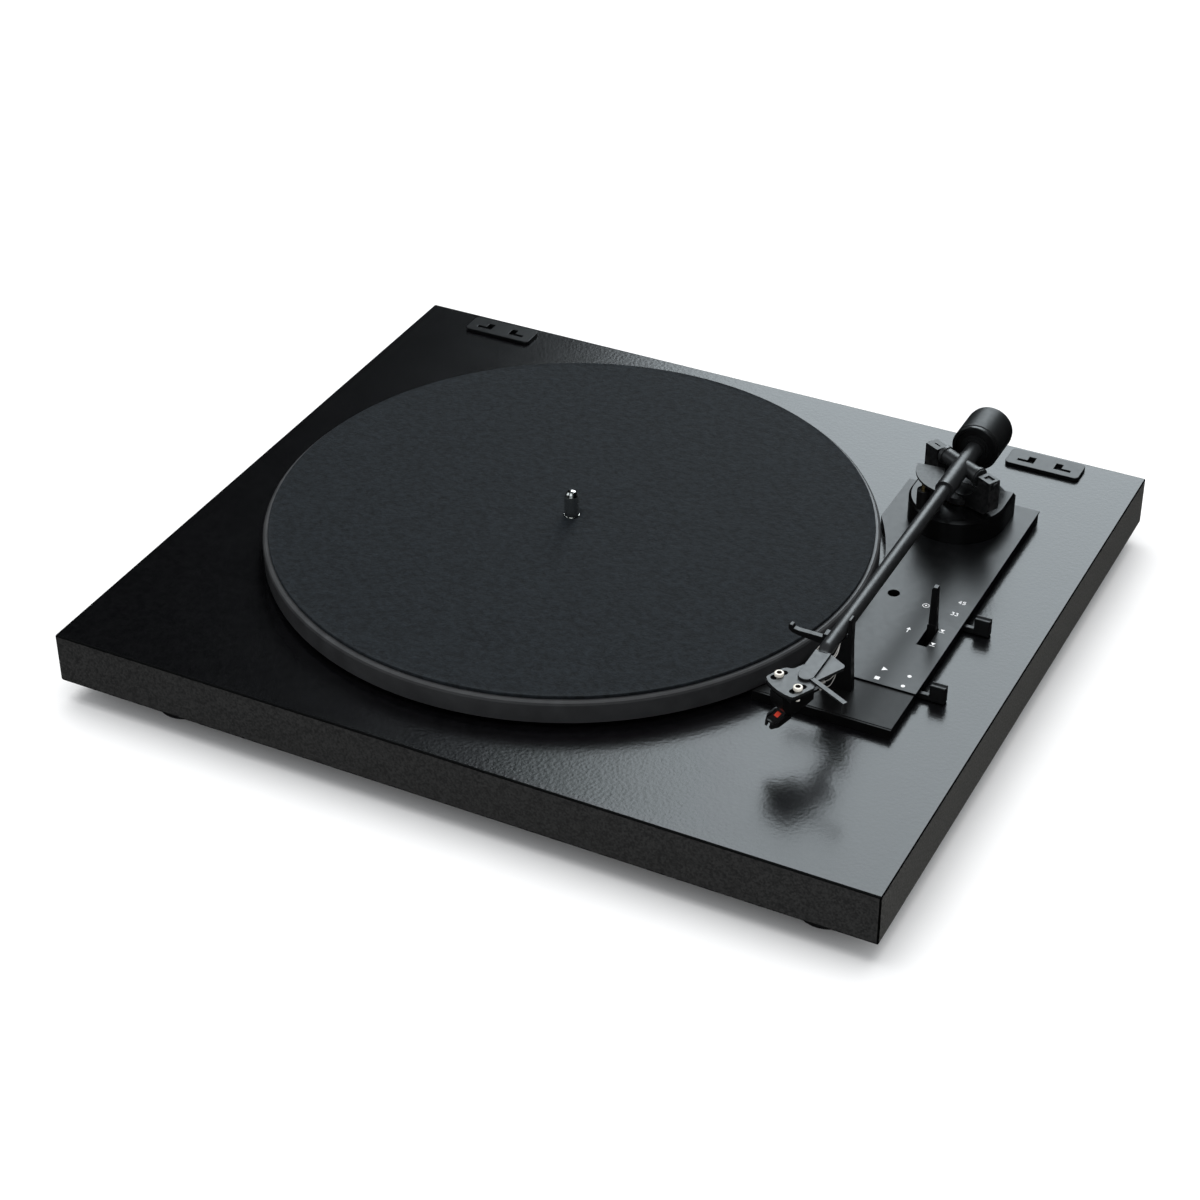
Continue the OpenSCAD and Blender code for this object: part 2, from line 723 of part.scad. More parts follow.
module arm_rest() color([0.1, 0.1, 0.105]) on_deck() {
    front = -61;
    back = -56.8;
    left = 129.6;
    right = 143.4;
    foot_right = 144.6;
    jaw_in = 132.5;
    wall_in = 141.6;
    saddle = 32.4;
    jaw_top = 32.7;
    wall_top = 43.8;
    // Fin with a shallow saddle, a low jaw on the left and a tall wall on the right
    translate([0, back, 0]) rotate([90, 0, 0]) linear_extrude(back - front) polygon([
        [left, base_h], [foot_right, base_h], [right, 30], [right, wall_top - 0.8],
        [right - 0.8, wall_top], [wall_in, wall_top], [wall_in, saddle + 2.2],
        [wall_in - 1.6, saddle + 0.4], [wall_in - 3, saddle], [jaw_in + 0.6, saddle],
        [jaw_in, jaw_top], [left + 0.6, jaw_top], [left, jaw_top - 0.6]]);
    // Cradle bar that catches the arm as it comes in, with an upright pin at its end
    translate([0, -58.2, 0]) rotate([90, 0, 0]) linear_extrude(2.6) polygon([
        [left + 1, 26.6], [left + 1, 30.6], [118, 30.6], [115.6, 31], [115.4, 32.4],
        [114.8, 32.7], [113.6, 32.7], [113.1, 32.3], [113.2, 30.2], [114.8, 28.8],
        [118, 27.9], [124, 27.4]]);
}

// Block with a round-bottomed opening; the uprights carry the pivot screws.
module yoke() color([0.12, 0.125, 0.13]) on_deck() {
    half_t = 3.25;
    foot_z = housing_top + 0.5;
    throat_r = axle_inner;
    throat_z = 37.5;
    tip = 39;
    translate([pivot_x, pivot_y, 0]) rotate([0, 0, axle_tilt]) difference() {
        union() {
            bar_z(0, 0, foot_z, foot_z + 3.2, 8);
            translate([0, half_t, 0]) rotate([90, 0, 0]) linear_extrude(2 * half_t)
                difference() {
                    polygon([[-9, foot_z], [9, foot_z], [axle_outer - 3, foot_z + 1.6],
                        [axle_outer, foot_z + 4.4], [axle_outer, tip - 0.5],
                        [axle_outer - 0.5, tip], [axle_inner, tip], [-axle_inner, tip],
                        [0.5 - axle_outer, tip], [-axle_outer, tip - 0.5],
                        [-axle_outer, foot_z + 4.4], [3 - axle_outer, foot_z + 1.6]]);
                    translate([0, throat_z]) circle(r = throat_r);
                    translate([-throat_r, throat_z]) square([2 * throat_r, 10]);
                }
        }
        bar_z(0, 0, foot_z - 1, shaft_top, shaft_r);
        bar_x(-axle_outer - 1, axle_outer + 1, 0, arm_z, pivot_pin_r + fit);
        // Recess on the right upright and slot on the left one
        block([17, -1.8, tip - 0.8], [21.6, 1.8, tip + 1]);
        block([-20.6, -0.4, tip - 1], [-16.6, 0.4, tip + 1]);
    }
}

module yaw_shaft() color([0.7, 0.7, 0.72]) on_deck() {
    bore = 2;
    translate([pivot_x, pivot_y, 0]) rotate_extrude() polygon([
        [bore, -18.5], [shaft_r - 0.5, -18.5], [shaft_r, -18], [shaft_r, shaft_top],
        [bore, shaft_top]]);
}

module arm_drive_lever() color([0.65, 0.65, 0.66]) on_deck() {
    reach = 34;
    half = 3;
    translate([pivot_x, pivot_y, 0]) rotate([0, 0, 200]) difference() {
        union() {
            translate([0, 0, -17]) cylinder(r = 7, h = 3.6);
            block([0, -half, -16], [reach, half, -14.5]);
            bar_z(reach, 0, -16, -14.5, half);
            bar_z(reach, 0, -19, -14.5, 1.5);
        }
        translate([0, 0, -18]) cylinder(r = shaft_r, h = 6);
    }
}

module pivot_screws() color([0.75, 0.76, 0.77]) at_pivot() {
    head_r = 1.9;
    inner = 12.6;
    for (turn = [0, 180])
        rotate([0, 0, axle_tilt + turn]) {
            bar_x(inner, axle_outer + 0.4, 0, 0, pivot_pin_r);
            difference() {
                bar_x(axle_outer, axle_outer + 0.8, 0, 0, head_r);
                block([axle_outer + 0.4, -0.35, -3], [axle_outer + 2, 0.35, 3]);
            }
        }
}

// ---------- Arm ----------

module pivot_block() color([0.15, 0.155, 0.16]) at_pivot() {
    cross = 13.5;
    collar_r = 4.6;
    sleeve_front = -24.6;
    sleeve_back = 6;
    stub_end = 39;
    difference() {
        union() {
            bar_y(0, sleeve_front, sleeve_back, 0, sleeve_r);
            bar_y(0, sleeve_back - 1, stub_end, 0, stub_r);
            rotate([0, 0, axle_tilt]) {
                bar_x(-cross, cross, 0, 0, 4);
                for (end = [-12.7, 11.1]) bar_x(end, end + 1.6, 0, 0, collar_r);
            }
        }
        bar_y(0, sleeve_front - 1, sleeve_front + 7, 0, tube_r);
        rotate([0, 0, axle_tilt]) {
            bar_x(-cross - 1, -cross + 2.4, 0, 0, pivot_pin_r + fit);
            bar_x(cross - 2.4, cross + 1, 0, 0, pivot_pin_r + fit);
        }
    }
}

module arm_tube() color([0.15, 0.155, 0.16]) on_deck() {
    back = pivot_y - 24.6 + 7;
    tube_front = -76.5;
    flat_front = -98.3;
    flat_back = -79.5;
    flat_r = 3.7;
    wall = 0.6;
    flat_z = plate_top;
    flat_t = 1.2;
    difference() {
        bar_y(pivot_x, tube_front, back, arm_z, tube_r);
        bar_y(pivot_x, tube_front + 2, back + 1, arm_z, tube_r - wall);
    }
    // The tube is pressed flat towards the head
    hull() {
        bar_y(pivot_x, tube_front, tube_front + 0.1, arm_z, tube_r, $fn = 32);
        block([pivot_x - flat_r, flat_back - 0.1, flat_z],
            [pivot_x + flat_r, flat_back, flat_z + flat_t]);
    }
    block([pivot_x - flat_r, flat_front, flat_z], [pivot_x + flat_r, flat_back, flat_z + flat_t]);
    bar_z(pivot_x, flat_front, flat_z, flat_z + flat_t, flat_r);
}

// Flat sector beside the sleeve; the lift rod pushes it up.
module sector_plate() color([0.13, 0.135, 0.14]) at_pivot() {
    outer = 22.2;
    inner = 8.5;
    z0 = 31.9 - arm_z;
    t = 1.2;
    difference() {
        translate([0, 0, z0]) linear_extrude(t) intersection() {
            difference() {
                circle(r = outer);
                circle(r = inner);
            }
            polygon([[0, 0], 40 * [cos(185), sin(185)], 40 * [cos(223), sin(223)],
                40 * [cos(262), sin(262)]]);
        }
        bar_y(0, -30, 10, 0, sleeve_r);
    }
}

module headshell() color([0.13, 0.135, 0.14]) at_head() {
    t = plate_top - plate_under;
    slot_half = 1.7;
    slot_reach = 2.8;
    half = screw_pitch / 2;
    lift_y = 27;
    lift_half = 1.1;
    lift_x = -9;
    lift_t = 1;
    difference() {
        // X forward and Y to the right of the cartridge screws
        translate([0, 0, plate_under]) linear_extrude(t) polygon([
            [5.4, -8.5], [6.6, -6], [7.3, -2], [7.5, 1.5], [7.1, 5.4], [6.3, 8.4],
            [5.7, 9.4], [4.6, 9.9], [-5.7, 9.9], [-7.4, 8.8], [-10.2, 6.5], [-25.6, 6.4],
            [-26.7, 5.9], [-27.3, 4.9], [-27.6, -4.2], [-11.8, -6.1], [-8.6, -6.2],
            [-7.2, -6.9], [-6.2, -8.4], [-4.9, -9.1], [-2.8, -9.3], [4.2, -9.1]]);
        for (y = [-half, half]) {
            block([-slot_reach, y - slot_half, plate_under - 1],
                [slot_reach, y + slot_half, plate_top + 1]);
            for (x = [-slot_reach, slot_reach])
                bar_z(x, y, plate_under - 1, plate_top + 1, slot_half);
        }
    }
    // Finger lift: a strip on the plate with its end turned down
    block([lift_x - lift_half, 4.6, plate_top - eps],
        [lift_x + lift_half, lift_y, plate_top + lift_t]);
    block([lift_x - lift_half, lift_y - lift_t, plate_top - 4.6],
        [lift_x + lift_half, lift_y, plate_top + eps]);
}

module cartridge_body() color([0.05, 0.05, 0.055]) at_head() {
    half = cartridge_w / 2;
    flange_z = 32.6;
    // Mounting flange under the plate
    difference() {
        block([-6.5, -half, flange_z], [5.6, half, plate_under]);
        for (y = [-screw_pitch / 2, screw_pitch / 2])
            bar_z(0, y, flange_z - 1, plate_under + 1, 1.3);
    }
    // Main block, narrowed towards the stylus
    translate([0, 4.4, 0]) rotate([90, 0, 0]) linear_extrude(8.8) polygon([
        [-11, flange_z + eps], [-11, 25], [-6, 23.2], [4, 23.2], [6.4, 27.4],
        [6.4, flange_z + eps]]);
    // Four pins at the back
    for (y = [-2.4, 2.4], z = [27, 30])
        bar_x(-15.4, -11 + eps, y, z, 0.5);
}

module cartridge_screws() color([0.85, 0.86, 0.87]) at_head() {
    head_r = 2.4;
    head_h = 1.5;
    for (y = [-screw_pitch / 2, screw_pitch / 2]) {
        difference() {
            bar_z(0, y, plate_top, plate_top + head_h, head_r);
            translate([0, y, plate_top + 0.5]) cylinder(r = 0.95, h = 2, $fn = 6);
        }
        bar_z(0, y, 30.6, plate_top + eps, 1.2);
    }
}

module stylus_unit() color([0.06, 0.06, 0.065]) at_head() {
    half = 2.8;
    // Carrier under the cartridge, with a nose that slopes down to the front
    translate([0, half, 0]) rotate([90, 0, 0]) linear_extrude(2 * half) polygon([
        [-6, 23.2], [-5, 20.8], [3, 19.6], [8.2, 18.5], [8.8, 19.3], [3.2, 22.6], [2.6, 23.2]]);
    // Cantilever and tip
    wire([4, 0, 20.6], [9.3, 0, 18.2], 0.3);
    bar_z(9.3, 0, 17.3, 18.4, 0.28);
}

module cartridge_leads() color([0.8, 0.78, 0.7]) at_head() {
    for (y = [-2.4, 2.4], z = [27, 30]) {
        bend = [-19, y, z + 3.1];
        wire([-15.85, y, z], bend, 0.5);
        wire(bend, [-25, y * (z - 26) * 0.5, 34.2], 0.35);
    }
}

module stylus_guard() color([0.06, 0.06, 0.065]) at_head() {
    inner = 3.1;
    outer = 4.1;
    // Two cheeks that close in to a pair of prongs
    for (side = [0, 1])
        mirror([0, side, 0]) intersection() {
            translate([0, 0, 16]) linear_extrude(7) polygon([
                [1, inner], [9.1, inner], [9.1, 1.5], [10.8, 0.9], [11, 1.9], [7.8, outer],
                [1, outer]]);
            translate([0, outer, 0]) rotate([90, 0, 0]) linear_extrude(outer) polygon([
                [1, 21.7], [1, 19.8], [6.5, 18.2], [10.6, 16.9], [11, 17.3], [10.4, 19.4],
                [8.2, 20.6], [4, 22]]);
        }
    // Bridge in front of the nose
    block([9.1, -1.8, 19], [10, 1.8, 19.8]);
}

// ---------- Counterweight ----------

module weight_collar() color([0.1, 0.1, 0.105]) at_pivot() {
    translate([0, 16, 0]) rotate([-90, 0, 0]) difference() {
        cylinder(r = 5.6, h = 21.5);
        translate([0, 0, -1]) cylinder(r = stub_r + fit, h = 24);
    }
}

module counterweight() color([0.1, 0.1, 0.105]) at_pivot() {
    front = 19.4;
    boss_front = 17.6;
    back = 41.5;
    bore = 5.65;
    rotate([-90, 0, 0]) rotate_extrude() polygon([
        [bore, boss_front], [7, boss_front], [7, front], [weight_r - 0.6, front],
        [weight_r, front + 0.6], [weight_r, back - 4], [weight_r - 0.35, back - 2],
        [weight_r - 1.2, back - 0.7], [weight_r - 2.6, back], [0, back],
        [0, back - 1.5], [bore, back - 1.5]]);
}

module dial_ring() color([0.13, 0.13, 0.135]) at_pivot() {
    bore = 7 + fit;
    rotate([-90, 0, 0]) rotate_extrude() polygon([
        [bore, 18], [9.6, 18], [10, 17], [weight_r - 0.4, 17], [weight_r, 17.4],
        [weight_r, 18.8], [weight_r - 0.4, 19.1], [bore, 19.1]]);
}

// ---------- Cue lever, link and their bracket ----------

module cue_lever() color([0.1, 0.1, 0.105]) on_deck() {
    half = 2.2;
    boss_top = 9.3;
    tip = 30;
    hub_r = 3.6;
    difference() {
        union() {
            block([cue_x - half, -2.2, cue_z], [cue_x + half, 1.2, boss_top]);
            // Tapered stem and its cap
            translate([cue_x, 1.2, 0]) rotate([90, 0, 0]) linear_extrude(2.6) polygon([
                [-1.95, boss_top - eps], [1.95, boss_top - eps], [1.4, tip - 0.8],
                [1.1, tip], [-0.7, tip], [-1.4, tip - 1.4]]);
            bar_x(cue_x - 3, cue_x + 3, cue_y, cue_z, hub_r);
            block([cue_x - half, cue_y - 1.5, cue_z - 8], [cue_x + half, cue_y + 1.5, cue_z]);
        }
        bar_x(cue_x - 4, cue_x + 4, cue_y, cue_z, 1.55);
    }
    // Drive pin for the link
    bar_x(151.5, cue_x, cue_y, cue_z - 6.5, 1);
}

module cue_bracket() color([0.6, 0.6, 0.62]) on_deck() {
    pin_r = 1.5;
    difference() {
        block([149, -2.5, -11.2], [172, 8, -deck_t]);
        block([156.9, -3, -12], [163.7, 4, 0]);
    }
    for (x = [154.9, 163.7])
        block([x, -2.5, -17], [x + 2, 3.5, -11.2 + eps]);
    bar_x(154.9, 165.7, cue_y, cue_z, pin_r);
}

module cue_link() color([0.75, 0.75, 0.72]) on_deck() {
    z0 = -19.5;
    z1 = -17.5;
    tab_x0 = 151.8;
    tab_x1 = 153.8;
    bar_left = 148;
    wedge_x0 = 122.7;
    wedge_x1 = 126.3;
    // Tab with an upright slot for the lever's pin
    difference() {
        block([tab_x0, -4, -23], [tab_x1, 5, z1]);
        block([tab_x0 - 1, cue_y - 1.35, -22.1], [tab_x1 + 1, cue_y + 1.35, -18.3]);
    }
    block([bar_left, 4, z0], [tab_x1, 71, z1]);
    block([wedge_x0, 70, z0], [tab_x1, 80, z1]);
    // Slope under the lift rod
    translate([wedge_x0, 0, 0]) rotate([90, 0, 90]) linear_extrude(wedge_x1 - wedge_x0)
        polygon([[72.9, z1 - eps], [80, z1 - eps], [80, -12.84]]);
}

plinth();
bottom_cover();
case_screws();
foot_front_left();
foot_front_right();
foot_back_left();
foot_back_right();
foot_screws();
chassis_plate();
bearing_housing();
motor_can();
motor_bracket();
motor_screws();
drive_belt();
cam_post();
control_base();
control_panel();
arm_base();
arm_bush();
lift_guide();
arm_rest();
hinge_bracket_left();
hinge_bracket_right();
circuit_board();
start_switch();
speed_switch();
terminal_plate();
phono_socket_left();
phono_socket_right();
ground_post();
power_inlet();
cue_bracket();
platter();
felt_mat();
spindle();
hub_pinion();
motor_pulley();
motor_shaft();
cam_gear();
yoke();
yaw_shaft();
arm_drive_lever();
pivot_screws();
pivot_block();
arm_tube();
sector_plate();
headshell();
cartridge_body();
cartridge_screws();
stylus_unit();
cartridge_leads();
stylus_guard();
weight_collar();
counterweight();
dial_ring();
cue_lever();
cue_link();
lift_rod();
start_knob();
speed_knob();
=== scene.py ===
"""Looks of the record player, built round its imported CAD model. Lengths are metres."""

import json
import math

import bpy
from mathutils import Matrix, Vector, noise


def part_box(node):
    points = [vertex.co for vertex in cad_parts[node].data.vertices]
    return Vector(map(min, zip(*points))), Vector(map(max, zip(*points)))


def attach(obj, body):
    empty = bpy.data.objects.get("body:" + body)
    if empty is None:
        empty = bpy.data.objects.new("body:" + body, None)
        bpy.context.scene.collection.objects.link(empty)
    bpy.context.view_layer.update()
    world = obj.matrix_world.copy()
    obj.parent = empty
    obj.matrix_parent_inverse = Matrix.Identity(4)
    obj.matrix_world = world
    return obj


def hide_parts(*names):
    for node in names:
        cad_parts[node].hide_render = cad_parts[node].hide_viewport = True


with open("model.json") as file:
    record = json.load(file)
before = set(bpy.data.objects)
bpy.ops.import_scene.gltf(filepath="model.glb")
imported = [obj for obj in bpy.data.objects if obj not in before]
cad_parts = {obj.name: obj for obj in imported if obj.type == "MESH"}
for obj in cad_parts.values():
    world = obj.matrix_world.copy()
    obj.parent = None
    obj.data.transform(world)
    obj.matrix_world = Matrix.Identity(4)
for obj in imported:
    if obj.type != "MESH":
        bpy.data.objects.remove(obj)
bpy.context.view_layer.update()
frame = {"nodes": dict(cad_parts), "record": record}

MM = 0.001
MICRON = 0.000001
NODES = frame["nodes"]
JOINTS = {j["name"]: j for j in frame["record"]["behaviour"]["joints"]}


def low(node):
    return Vector(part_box(node)[0])


def high(node):
    return Vector(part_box(node)[1])


def middle(node):
    return (low(node) + high(node)) / 2


PLINTH_TOP = high("plinth").z
PANEL_TOP = high("control_panel").z
# Where the arm turns, the way its head points, and the middle of the cartridge's two screws
PIVOT = Vector(JOINTS["arm_swing"]["pos_m"])
GUARD_WAY = JOINTS["guard_slide"]["axis"]
HEAD_TURN = math.atan2(GUARD_WAY[1], GUARD_WAY[0])
HEAD_TOP = PIVOT.z
SCREWS = middle("cartridge_screws")


# ---------- Node helpers ----------


def node(tree, kind, sockets=None, **props):
    """Adds a shader node; a socket given as another node's output is linked, anything else is set."""
    made = tree.nodes.new(kind)
    for key, value in props.items():
        setattr(made, key, value)
    for key, value in (sockets or {}).items():
        if isinstance(value, bpy.types.NodeSocket):
            tree.links.new(value, made.inputs[key])
        else:
            made.inputs[key].default_value = value
    return made


def place(tree, stretch=(1, 1, 1)):
    """Object coordinates in metres, stretched along an axis where a grain runs that way."""
    coords = node(tree, "ShaderNodeTexCoord")
    scaled = node(tree, "ShaderNodeMapping", {"Vector": coords.outputs["Object"], "Scale": stretch})
    return scaled.outputs["Vector"]


def grain(tree, per_metre, stretch=(1, 1, 1), detail=3.0, rough=0.5):
    return node(
        tree,
        "ShaderNodeTexNoise",
        {"Vector": place(tree, stretch), "Scale": per_metre, "Detail": detail, "Roughness": rough},
    ).outputs["Fac"]


def remap(tree, value, lo, hi, start=0.3, end=0.7):
    """Spreads a noise value, which lies mostly between start and end, over lo to hi."""
    return node(
        tree,
        "ShaderNodeMapRange",
        {"Value": value, "From Min": start, "From Max": end, "To Min": lo, "To Max": hi},
    ).outputs["Result"]


def blend_colour(tree, value, dark, light):
    mix = node(tree, "ShaderNodeMix", {"Factor": value}, data_type="RGBA")
    mix.inputs["A"].default_value = (*dark, 1)
    mix.inputs["B"].default_value = (*light, 1)
    return mix.outputs["Result"]


def bumped(tree, heights):
    """A normal from (height socket, depth in metres) pairs laid one over another."""
    normal = None
    for height, depth in heights:
        sockets = {"Height": height, "Distance": depth, "Strength": 1.0}
        if normal is not None:
            sockets["Normal"] = normal
        normal = node(tree, "ShaderNodeBump", sockets).outputs["Normal"]
    return normal


def material(name, metallic=0.0, ior=1.5):
    made = bpy.data.materials.new(name)
    made.use_nodes = True
    shader = made.node_tree.nodes["Principled BSDF"]
    shader.inputs["Metallic"].default_value = metallic
    shader.inputs["IOR"].default_value = ior
    return made, made.node_tree, shader


def wire_up(tree, shader, **sockets):
    for key, value in sockets.items():
        tree.links.new(value, shader.inputs[key.replace("_", " ")])


def edge_wear(tree, most):
    """Up to most on convex edges, 0 elsewhere, broken up by noise."""
    point = node(tree, "ShaderNodeNewGeometry").outputs["Pointiness"]
    edge = remap(tree, point, 0.0, most, 0.505, 0.56)
    spots = remap(tree, grain(tree, 700.0), 0.0, 1.0, 0.42, 0.6)
    return node(tree, "ShaderNodeMath", {0: edge, 1: spots}, operation="MULTIPLY").outputs[0]


# ---------- Materials ----------


def foil(name, dark, light, rough, depth, ior, mottle=300.0):
    """Printed foil with a fine pebbled grain; mottle is the number of its blotches to a metre."""
    made, tree, shader = material(name, ior=ior)
    blotches = remap(tree, grain(tree, mottle, detail=2.0), 0, 1, 0.36, 0.64)
    cells = node(
        tree,
        "ShaderNodeTexVoronoi",
        {"Vector": place(tree), "Scale": 660.0, "Randomness": 1.0},
        feature="SMOOTH_F1",
    ).outputs["Distance"]
    wire_up(
        tree,
        shader,
        Base_Color=blend_colour(tree, blotches, dark, light),
        Roughness=remap(tree, grain(tree, 60.0), rough - 0.008, rough + 0.008),
        Normal=bumped(tree, [(cells, depth), (grain(tree, 1100.0, detail=1.0), depth * 0.5)]),
    )
    return made


def felt():
    """Pressed felt: mottled short fibres in blue-black."""
    made, tree, shader = material("felt")
    fibres = grain(tree, 900.0, detail=6.0, rough=0.75)
    tufts = grain(tree, 330.0, detail=4.0, rough=0.6)
    both = node(tree, "ShaderNodeMath", {0: fibres, 1: tufts}, operation="ADD").outputs[0]
    spread = remap(tree, both, 0, 1, 0.78, 1.24)
    wire_up(
        tree,
        shader,
        Base_Color=blend_colour(tree, spread, (0.0006, 0.001, 0.0016), (0.008, 0.0112, 0.0146)),
        Normal=bumped(tree, [(tufts, 420 * MICRON), (fibres, 240 * MICRON)]),
    )
    shader.inputs["Roughness"].default_value = 0.75
    shader.inputs["Specular IOR Level"].default_value = 0.16
    shader.inputs["Sheen Weight"].default_value = 0.06
    shader.inputs["Sheen Roughness"].default_value = 0.6
    shader.inputs["Sheen Tint"].default_value = (0.5, 0.58, 0.66, 1)
    return made


def painted(name, dark, light, rough, worn=None, tooth=1.6 * MICRON, ior=1.5):
    """Satin paint or anodising; worn is the paler tone where its edges are rubbed."""
    made, tree, shader = material(name, ior=ior)
    tone = blend_colour(tree, remap(tree, grain(tree, 260.0), 0, 1), dark, light)
    if worn:
        mix = node(tree, "ShaderNodeMix", {"Factor": edge_wear(tree, 0.3)}, data_type="RGBA")
        tree.links.new(tone, mix.inputs["A"])
        mix.inputs["B"].default_value = (*worn, 1)
        tone = mix.outputs["Result"]
    wire_up(
        tree,
        shader,
        Base_Color=tone,
        Roughness=remap(tree, grain(tree, 420.0), rough - 0.03, rough + 0.04),
        Normal=bumped(tree, [(grain(tree, 1800.0), tooth)]),
    )
    return made


def moulded(name, dark, light, rough, tooth=3 * MICRON):
    """Injection-moulded plastic with a faint spark-eroded texture."""
    made, tree, shader = material(name, ior=1.48)
    wire_up(
        tree,
        shader,
        Base_Color=blend_colour(tree, remap(tree, grain(tree, 180.0), 0, 1), dark, light),
        Roughness=remap(tree, grain(tree, 500.0), rough - 0.05, rough + 0.06),
        Normal=bumped(tree, [(grain(tree, 2400.0), tooth)]),
    )
    return made


def metal(name, dark, light, rough, stretch=(1, 1, 1)):
    """Bare metal with a machining or brushing grain along the unstretched axes."""
    made, tree, shader = material(name, metallic=1.0)
    lines = grain(tree, 900.0, stretch, 4.0, 0.6)
    wire_up(
        tree,
        shader,
        Base_Color=blend_colour(tree, remap(tree, grain(tree, 120.0), 0, 1), dark, light),
        Roughness=remap(tree, lines, rough - 0.06, rough + 0.08),
        Normal=bumped(tree, [(lines, 2 * MICRON)]),
    )
    return made


def turned(name, centre, dark, light, rough, metallic=1.0, ior=1.5):
    """Metal turned on a lathe: fine rings round a vertical axis through centre."""
    made, tree, shader = material(name, metallic=metallic, ior=ior)
    axis = (centre.x, centre.y, 0)
    local = node(tree, "ShaderNodeVectorMath", {0: place(tree), 1: axis}, operation="SUBTRACT").outputs[0]
    flat = node(tree, "ShaderNodeVectorMath", {0: local, 1: (1, 1, 0)}, operation="MULTIPLY").outputs[0]
    radius = node(tree, "ShaderNodeVectorMath", {0: flat}, operation="LENGTH").outputs["Value"]
    height = node(tree, "ShaderNodeSeparateXYZ", {"Vector": place(tree)}).outputs["Z"]
    ring = node(tree, "ShaderNodeCombineXYZ", {"X": radius, "Y": height})
    lines = node(
        tree,
        "ShaderNodeTexNoise",
        {"Vector": ring.outputs[0], "Scale": 2600.0, "Detail": 3.0, "Roughness": 0.6},
    ).outputs["Fac"]
    wire_up(
        tree,
        shader,
        Base_Color=blend_colour(tree, remap(tree, grain(tree, 90.0), 0, 1), dark, light),
        Roughness=remap(tree, lines, rough - 0.05, rough + 0.08),
        Normal=bumped(tree, [(lines, 3 * MICRON)]),
    )
    return made


MATERIALS = {
    "plinth_foil": foil(
        "foil_top", (0.0016, 0.0016, 0.002), (0.003, 0.003, 0.0035), 0.22, 40 * MICRON, 1.5
    ),
    "case_plastic": moulded("case_plastic", (0.006, 0.006, 0.0066), (0.011, 0.011, 0.012), 0.5),
    "black_plastic": moulded("black_plastic", (0.0028, 0.0028, 0.003), (0.005, 0.005, 0.0054), 0.34),
    "mechanism_plastic": moulded("mechanism_plastic", (0.68, 0.68, 0.63), (0.78, 0.78, 0.73), 0.42),
    "control_paint": painted(
        "control_paint",
        (0.003, 0.0032, 0.0036),
        (0.005, 0.0053, 0.0058),
        0.31,
        tooth=0.6 * MICRON,
        ior=1.39,
    ),
    "arm_paint": painted(
        "arm_paint", (0.002, 0.002, 0.0022), (0.0034, 0.0035, 0.0037), 0.34, (0.05, 0.051, 0.053), ior=1.42
    ),
    "tube_metal": painted("tube_metal", (0.009, 0.0095, 0.0103), (0.013, 0.0137, 0.0147), 0.42, ior=1.7),
    "weight_metal": painted(
        "weight_metal", (0.004, 0.0042, 0.0045), (0.006, 0.0063, 0.0067), 0.48, ior=1.52
    ),
    "platter_metal": turned(
        "platter_metal", middle("spindle"), (0.026, 0.0265, 0.028), (0.036, 0.037, 0.039), 0.45, 0.0, 1.25
    ),
    "bright_steel": metal("bright_steel", (0.66, 0.65, 0.62), (0.76, 0.75, 0.72), 0.2),
    "zinc_steel": metal("zinc_steel", (0.45, 0.46, 0.47), (0.6, 0.61, 0.62), 0.34, (1, 12, 1)),
    "brass": metal("brass", (0.72, 0.5, 0.2), (0.8, 0.58, 0.26), 0.24),
    "felt": felt(),
    "belt_rubber": moulded("belt_rubber", (0.012, 0.012, 0.012), (0.02, 0.02, 0.02), 0.7),
    "board_green": moulded("board_green", (0.01, 0.07, 0.03), (0.02, 0.12, 0.05), 0.4),
    "lead_wire": moulded("lead_wire", (0.3, 0.29, 0.27), (0.42, 0.41, 0.39), 0.45),
}
# Lighter copies of the plinth's foil for its side and front faces: painted light, the side lit brightest
# and the front less
FOIL_SIDE_PAINTED_LIGHT = foil(
    "foil_side_painted_light", (0.03, 0.03, 0.028), (0.105, 0.104, 0.098), 0.42, 50 * MICRON, 1.45, 1000.0
)
FOIL_FRONT_PAINTED_LIGHT = foil(
    "foil_front_painted_light", (0.015, 0.015, 0.015), (0.029, 0.029, 0.0285), 0.42, 50 * MICRON, 1.32, 1000.0
)
EDGE_LINE = painted("edge_line", (0.001, 0.001, 0.001), (0.002, 0.002, 0.002), 0.5, ior=1.2)
HOUSING = painted("housing_paint", (0.0016, 0.0016, 0.0018), (0.0028, 0.0029, 0.0031), 0.22, ior=1.38)
BASE_SATIN = painted("base_satin", (0.003, 0.003, 0.0031), (0.005, 0.005, 0.0052), 0.34, ior=1.24)
# A darker, duller copy of the base's satin for its upright faces: painted shade on the sides
BASE_SIDE_PAINTED_SHADE = painted("base_side_painted_shade", (0.0025, 0.0025, 0.0026), (0.004, 0.004, 0.0042), 0.4, ior=1.2)
# A lighter copy of the platter's metal for the top of its rim: a painted highlight along the rim's top
# edge
RIM_PAINTED_HIGHLIGHT = turned(
    "rim_painted_highlight", middle("spindle"), (0.05, 0.051, 0.053), (0.07, 0.0715, 0.074), 0.42, 0.3
)
PRINT_WHITE = moulded("print_white", (0.84, 0.85, 0.86), (0.9, 0.91, 0.92), 0.5, MICRON)
STYLUS_RED = moulded("stylus_red", (0.5, 0.024, 0.008), (0.62, 0.04, 0.014), 0.3)
SCREW_CREAM = moulded("screw_cream", (0.7, 0.67, 0.6), (0.8, 0.77, 0.7), 0.35, MICRON)
# Dark brown for the screws' key recesses: painted shade inside the hex sockets
HEX_PAINTED_SHADE = moulded("hex_painted_shade", (0.012, 0.008, 0.006), (0.03, 0.018, 0.012), 0.5)

